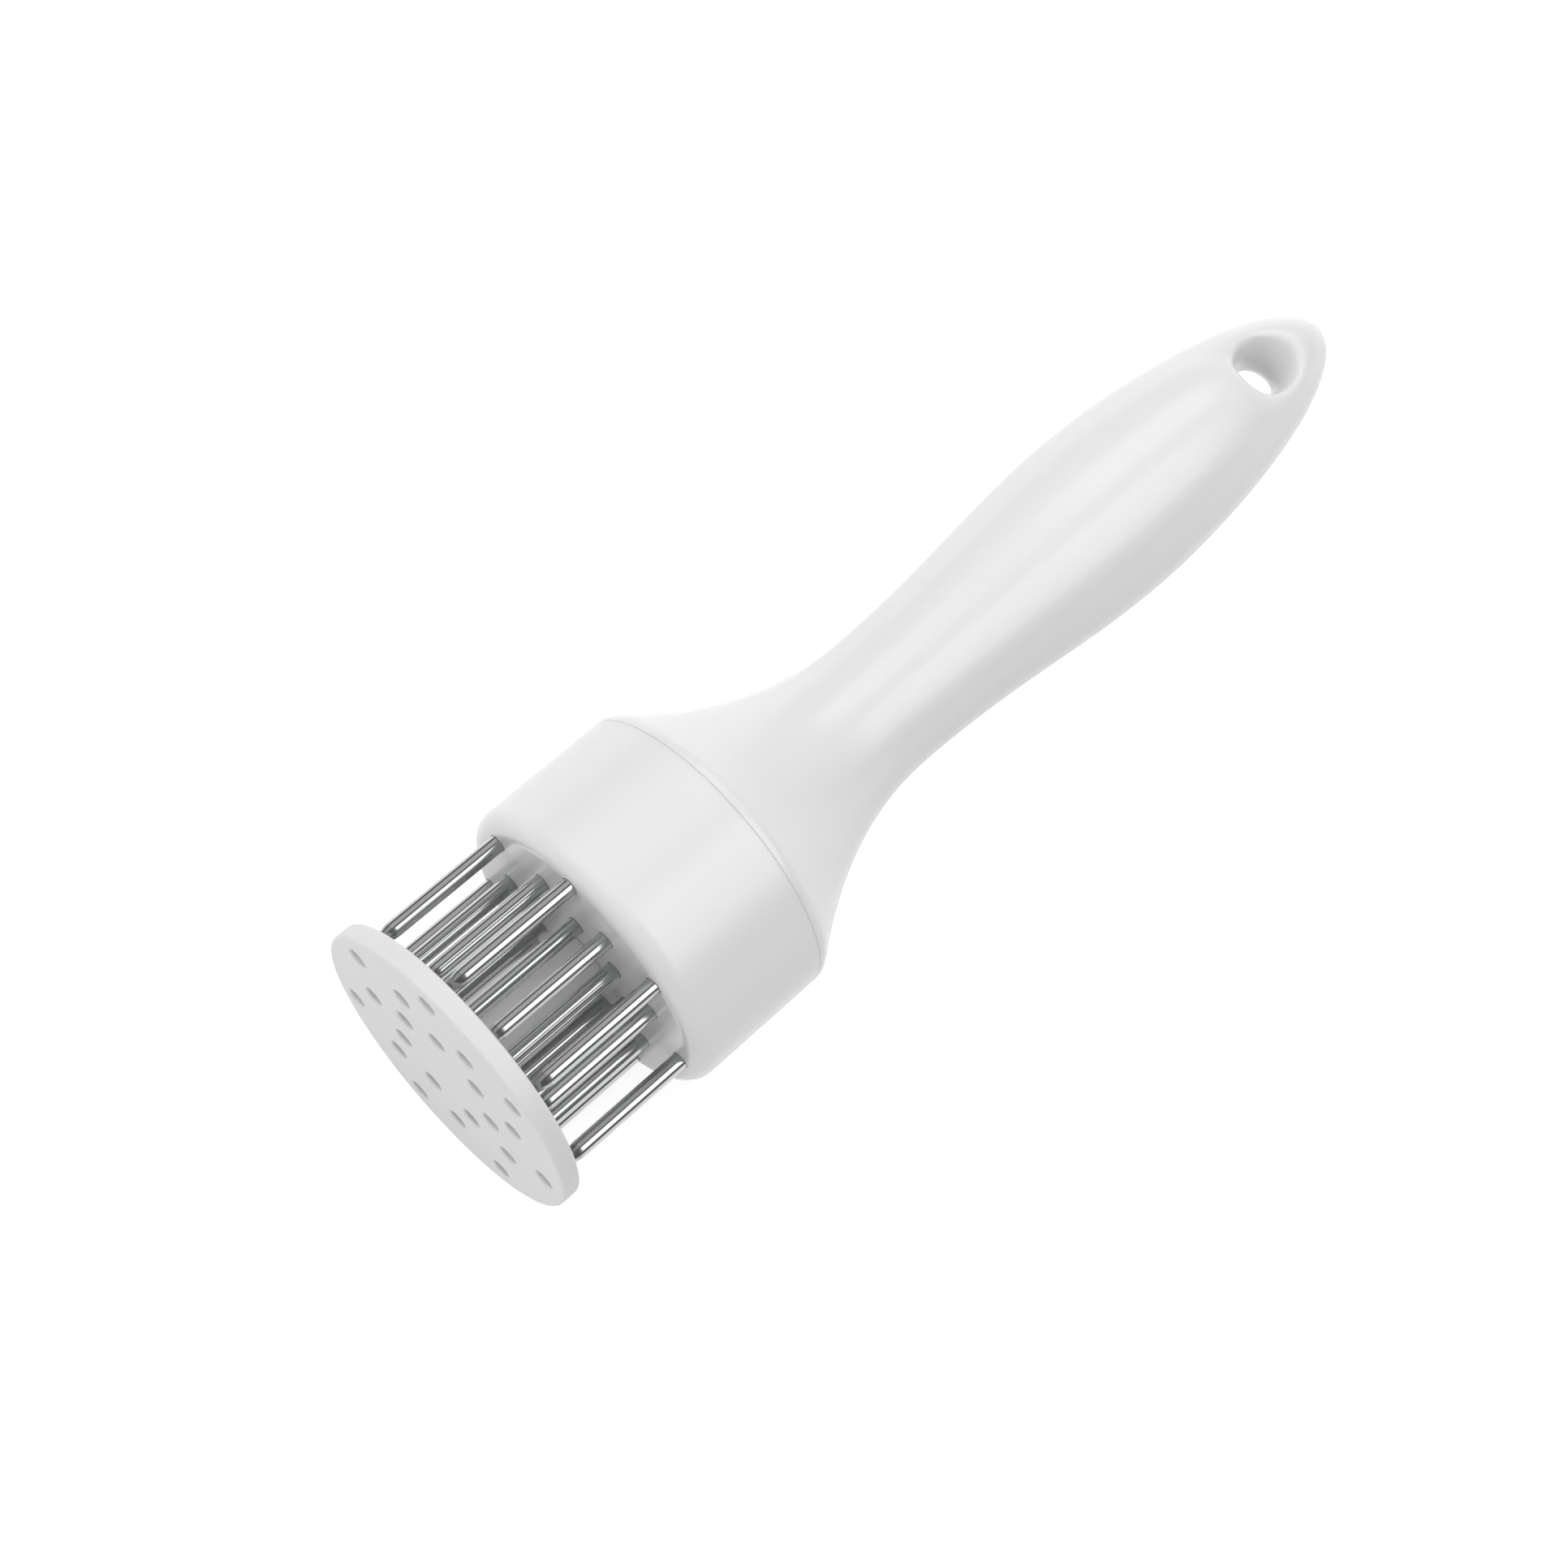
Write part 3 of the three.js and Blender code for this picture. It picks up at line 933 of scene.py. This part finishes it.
def add(tree, kind, settings=(), inputs=(), **links):
    """Adds a node. Settings name its own properties or its sockets.

    Inputs are outputs of other nodes that join its first sockets in order, and links join sockets by name.
    """
    node = tree.nodes.new(kind)
    for name, value in dict(settings).items():
        if name in node.inputs:
            node.inputs[name].default_value = value
        else:
            setattr(node, name, value)
    for socket, output in enumerate(inputs):
        tree.links.new(output, node.inputs[socket])
    for name, output in links.items():
        tree.links.new(output, node.inputs[name.replace("_", " ")])
    return node


def new_material(name):
    """An empty node material, its tree and its object coordinates."""
    material = bpy.data.materials.new(name)
    material.use_nodes = True
    material.node_tree.nodes.clear()
    tree = material.node_tree
    return material, tree, add(tree, "ShaderNodeTexCoord").outputs["Object"]


def surface(tree, settings, roughness, gloss, relief, relief_mm, **links):
    """Ends a material in one shader, whose roughness follows one noise and whose relief follows another.

    The roughness is its middle and how far it varies either way.
    """
    middle, spread = roughness
    span = {"To Min": middle - spread, "To Max": middle + spread}
    rough = add(tree, "ShaderNodeMapRange", span, Value=gloss.outputs["Fac"])
    bump_size = {"Strength": 1, "Distance": relief_mm * MM}
    bump = add(tree, "ShaderNodeBump", bump_size, Height=relief.outputs["Fac"])
    links |= {"Roughness": rough.outputs["Result"], "Normal": bump.outputs["Normal"]}
    shader = add(tree, "ShaderNodeBsdfPrincipled", settings, **links)
    add(tree, "ShaderNodeOutputMaterial", Surface=shader.outputs["BSDF"])


# %% [markdown]
# ## White plastic
# The handle and the head are injection-moulded ABS from a polished mould: white, hard and glossy,
# so light rolls over it in broad soft bands. Up close such a part has a very slight waviness where it
# shrank, and a gloss that varies a little. A little light passes into it, which softens its shadows. The
# press plate comes from a plainer mould and is satin.

# %% Moulded ABS
patch_mm, gloss_patch_mm = 25, 6
abs_settings = {
    "IOR": 1.54,
    "Subsurface Weight": 0.4,
    "Subsurface Scale": 0.8 * MM,
    "Subsurface Radius": (1, 0.97, 0.93),
}


def moulded_abs(name, light, shade, roughness, wave_mm, relief_mm):
    """White plastic whose tone drifts between two colours, with a long faint wave in its surface."""
    material, tree, coords = new_material(name)
    patch = add(tree, "ShaderNodeTexNoise", {"Scale": 1 / (patch_mm * MM), "Detail": 2}, Vector=coords)
    gloss = add(tree, "ShaderNodeTexNoise", {"Scale": 1 / (gloss_patch_mm * MM), "Detail": 4}, Vector=coords)
    wave = add(tree, "ShaderNodeTexNoise", {"Scale": 1 / (wave_mm * MM), "Detail": 1}, Vector=coords)
    # A Mix node has sockets A and B for each type of data, so its colour sockets go by their numbers.
    tone = add(tree, "ShaderNodeMix", {"data_type": "RGBA"}, (patch.outputs["Fac"],))
    tone.inputs[6].default_value = colour(light)
    tone.inputs[7].default_value = colour(shade)
    surface(tree, abs_settings, roughness, gloss, wave, relief_mm, Base_Color=tone.outputs[2])
    return material


gloss_abs = moulded_abs(
    "moulded_gloss_abs", "#ecedec", "#e9eae9", roughness=(0.25, 0.03), wave_mm=18, relief_mm=0.05
)
satin_abs = moulded_abs(
    "moulded_satin_abs", "#e9eae9", "#e5e6e5", roughness=(0.42, 0.04), wave_mm=5, relief_mm=0.03
)
print("white plastics:", gloss_abs.name, "and", satin_abs.name)

# %% [markdown]
# ## Steel
# The needles are drawn stainless wire, polished lengthwise: a bright mirror with very fine lines along
# the wire. Their points are ground as the wire spins, so the lines there run round them and the steel is a
# little duller. The disc, the washer and the screw are turned, with coarser lines round them, and the
# spring is drawn wire. Real lines are a few hundredths of a millimetre apart, too fine to show, so they are
# drawn 0.1 to 0.25 mm apart. One function lays them all: noise that a Mapping node stretches.

# %% Steel with fine lines
def fine_line_steel(name, tone, roughness, line_mm, stretch, relief_mm):
    """Steel with fine lines. The stretch is how many line widths a line runs along X, Y and Z."""
    material, tree, coords = new_material(name)
    scale = [1 / (line_mm * MM * times) for times in stretch]
    laid = add(tree, "ShaderNodeMapping", {"Scale": scale}, Vector=coords)
    lines = add(tree, "ShaderNodeTexNoise", {"Scale": 1, "Detail": 3}, Vector=laid.outputs["Vector"])
    metal = {"Base Color": colour(tone), "Metallic": 1}
    surface(tree, metal, roughness, lines, lines, relief_mm)
    return material


drawn_steel = fine_line_steel(
    "drawn_polished_stainless", "#bcbdbe", (0.15, 0.02), line_mm=0.25, stretch=(200, 1, 1), relief_mm=0.00005
)
ground_steel = fine_line_steel(
    "ground_stainless", "#a8a9aa", (0.2, 0.04), line_mm=0.1, stretch=(1, 8, 8), relief_mm=0.0003
)
turned_steel = fine_line_steel(
    "turned_steel", "#b0aeab", (0.3, 0.07), line_mm=0.15, stretch=(1, 8, 8), relief_mm=0.002
)
spring_steel = fine_line_steel(
    "drawn_spring_steel", "#a5a3a0", (0.2, 0.05), line_mm=0.1, stretch=(1, 6, 6), relief_mm=0.001
)
print("materials:", ", ".join(m.name for m in bpy.data.materials))

# %% Finish the first needle and set copies in their places
first_needle.data.materials.append(drawn_steel)
first_needle.data.materials.append(ground_steel)
work_on(first_needle, edit=True)
pick(first_needle, "FACE", lambda at, normal: height_of(at.x) < wire_start)
first_needle.active_material_index = 1
bpy.ops.object.material_slot_assign()
work_on(first_needle)
bpy.ops.object.shade_smooth_by_angle(angle=math.radians(30))
for node, (across, up) in zip(needle_nodes, needle_places):
    work_on(first_needle)
    bpy.ops.object.duplicate()
    needle = bpy.context.object
    needle.name = needle.data.name = "ground_" + node
    bpy.ops.object.mode_set(mode="EDIT")
    bpy.ops.mesh.select_all(action="SELECT")
    bpy.ops.transform.translate(value=(0, across * MM, up * MM))
    bpy.ops.object.mode_set(mode="OBJECT")
    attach(needle, "handle_body")
    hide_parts(node)
bpy.data.objects.remove(first_needle)
print(len(needle_places), "needles stand in the head")

# %% Dress the white pieces
for piece, node, body, plastic in (
    (press_plate, "press_plate", "plate_body", satin_abs),
    (head, "head_shell", "handle_body", gloss_abs),
    (handle, "handle", "handle_body", gloss_abs),
):
    piece.data.materials.clear()
    piece.data.materials.append(plastic)
    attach(piece, body)
    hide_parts(node)
    print(piece.name, "is", plastic.name)

# %% Dress the steel pieces inside
for piece, node, body, steel, slot in (
    (clamp_disc, "needle_clamp_disc", "handle_body", turned_steel, "inner_steel"),
    (washer, "stop_washer", "plate_body", turned_steel, "inner_steel"),
    (screw, "stop_screw", "plate_body", turned_steel, "inner_steel"),
    (spring, "return_spring", "handle_body", spring_steel, "spring_steel"),
):
    piece.data.materials.clear()
    piece.data.materials.append(steel)
    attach(piece, body)
    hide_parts(node)
travel = frame["record"]["behaviour"]["joints"][0]["range_m"][1] / MM
kept = 1 - travel / (spring_top - spring_bottom)
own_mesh(spring)
print("the spring keeps", round(kept, 3), "of its length at full travel")

# %% [markdown]
# ## Studio
# The photograph is a cut-out on white. The floor is pale and matt and keeps the tool's shadow, and for
# what the camera and shiny metal see, it is lifted to white. The room above is dim, so the steel has
# something dark to mirror. Matt surfaces get an even fill from all sides instead.

# %% Floor
floor_reach = 4
floor_gap = 0.05 * MM
fade_start, fade_end = 0.2, 0.7
floor_lift = 0.72
clear_selection()
bpy.ops.mesh.primitive_plane_add(size=2 * floor_reach, location=(0, 0, cad_box[0].z - floor_gap))
floor = bpy.context.object
floor.name = "floor"
bpy.ops.object.transform_apply(location=True, rotation=True, scale=True)

paper, tree, coords = new_material("matt_white_paper")
rays = add(tree, "ShaderNodeLightPath").outputs
larger = {"operation": "MAXIMUM"}
in_metal = add(tree, "ShaderNodeMath", larger, (rays["Is Glossy Ray"], rays["Is Transmission Ray"]))
seen = add(tree, "ShaderNodeMath", larger, (rays["Is Camera Ray"], in_metal.outputs[0]))
away = add(tree, "ShaderNodeVectorMath", {"operation": "LENGTH"}, Vector=coords)
fade = {"From Min": fade_start, "From Max": fade_end, "interpolation_type": "SMOOTHSTEP"}
far = add(tree, "ShaderNodeMapRange", fade, Value=away.outputs["Value"])
matt = add(tree, "ShaderNodeBsdfDiffuse", {"Color": colour("#c8c8c8")})
lift = add(tree, "ShaderNodeEmission", {"Strength": floor_lift})
lit = add(tree, "ShaderNodeAddShader", inputs=(matt.outputs[0], lift.outputs[0]))
white = add(tree, "ShaderNodeEmission", {"Strength": 1})
faded = add(tree, "ShaderNodeMixShader", inputs=(far.outputs["Result"], lit.outputs[0], white.outputs[0]))
final = add(tree, "ShaderNodeMixShader", inputs=(seen.outputs[0], matt.outputs[0], faded.outputs[0]))
add(tree, "ShaderNodeOutputMaterial", Surface=final.outputs[0])
floor.data.materials.append(paper)
print("the floor fades to plain white between", fade_start, "and", fade_end, "m from the middle")

# %% World
ceiling_start = 0.12
wall_strength, ceiling_strength = 1, 0.17
fill_strength = 0.58
world = bpy.data.worlds.new("studio_room")
bpy.context.scene.world = world
world.use_nodes = True
tree = world.node_tree
tree.nodes.clear()
rays = add(tree, "ShaderNodeLightPath").outputs
in_metal = add(tree, "ShaderNodeMath", larger, (rays["Is Glossy Ray"], rays["Is Transmission Ray"]))
direction = add(tree, "ShaderNodeTexCoord").outputs["Generated"]
parts = add(tree, "ShaderNodeSeparateXYZ", Vector=direction)
dimming = {
    "From Min": 0.0,
    "From Max": ceiling_start,
    "To Min": wall_strength,
    "To Max": ceiling_strength,
    "interpolation_type": "SMOOTHSTEP",
}
wall_or_ceiling = add(tree, "ShaderNodeMapRange", dimming, Value=parts.outputs["Z"])
pure_white = {"Color": colour("#ffffff")}
room = add(tree, "ShaderNodeBackground", pure_white, Strength=wall_or_ceiling.outputs["Result"])
fill = add(tree, "ShaderNodeBackground", {**pure_white, "Strength": fill_strength})
backdrop = add(tree, "ShaderNodeBackground", {**pure_white, "Strength": 1})
unseen = add(tree, "ShaderNodeMixShader", inputs=(in_metal.outputs[0], fill.outputs[0], room.outputs[0]))
shown = add(
    tree, "ShaderNodeMixShader", inputs=(rays["Is Camera Ray"], unseen.outputs[0], backdrop.outputs[0])
)
add(tree, "ShaderNodeOutputWorld", Surface=shown.outputs[0])
print("the room is", wall_strength, "at the walls and", ceiling_strength, "above, as shiny steel sees it")


# %% Soft lamps
def area_lamp(name, centre, rotation, size, brightness, mirrored=True, lights=True):
    """A rectangular lamp that the camera doesn't see. The brightness is that of its face, where 1 is white.

    Shiny surfaces show it if mirrored is true, and matt ones are lit by it if lights is true.
    """
    clear_selection()
    bpy.ops.object.light_add(type="AREA", location=centre, rotation=rotation)
    lamp = bpy.context.object
    lamp.name = name
    lamp.data.shape = "RECTANGLE"
    lamp.data.size, lamp.data.size_y = size
    lamp.data.energy = brightness * math.pi * size[0] * size[1]
    lamp.visible_camera = False
    lamp.visible_glossy = mirrored
    lamp.visible_diffuse = lights


def softbox(name, leans, ends, **settings):
    """A lamp one metre from the tool's axis, between two leans from straight above and two places along X.

    A lean in degrees is towards +Y.
    """
    lean = math.radians(sum(leans) / 2)
    size = ends[1] - ends[0], 2 * math.tan(math.radians(leans[1] - leans[0]) / 2)
    centre = (sum(ends) / 2, math.sin(lean), axis_z + math.cos(lean))
    area_lamp(name, centre, (-lean, 0, 0), size, **settings)


def front_lamp(name, reach, low, high, width, **settings):
    """A lamp upright in front of the press plate, between two levels above the floor."""
    centre = (-reach, 0, (low + high) / 2)
    area_lamp(name, centre, (0, -math.pi / 2, 0), (high - low, width), **settings)


softbox("right_softbox", leans=(-55, -8), ends=(0.0, 1.0), brightness=1.9, lights=False)
softbox("left_softbox", leans=(12, 45), ends=(0.33, 1.3), brightness=1.44)
softbox("left_screen", leans=(12, 60), ends=(-0.6, 0.33), brightness=0.5)
softbox("overhead_bounce", leans=(-10, 15), ends=(-0.4, 1.0), brightness=1.57, mirrored=False)
front_lamp("front_bounce", reach=1.1, low=0.05, high=0.5, width=0.9, brightness=1.34, mirrored=False)

# %% [markdown]
# ## Camera
# The camera stands where the photograph's did. Its place and turn were worked out from the plate's rim,
# the seam, the hanging hole and the two ends of the tool, with the real length and width held fixed.

# %% Camera
camera_place = Vector((-187.7, -64.9, 453.46)) * MM
camera_right = Vector((0.71372, -0.68097, 0.16403))
camera_up = Vector((0.60828, 0.71873, 0.33679))
focal_pixels, image_pixels = 3780, 1932
clear_selection()
bpy.ops.object.camera_add(location=camera_place)
camera = bpy.context.object
turned = Matrix((camera_right, camera_up, camera_right.cross(camera_up))).transposed()
camera.rotation_euler = turned.to_euler()
camera.data.sensor_width = 36
camera.data.lens = focal_pixels * camera.data.sensor_width / image_pixels
camera.data.clip_start, camera.data.clip_end = 0.01, 20
bpy.context.scene.camera = camera
bpy.context.scene.view_settings.view_transform = "Standard"
print("lens", round(camera.data.lens, 2), "mm")

# %% Finish
clear_selection()
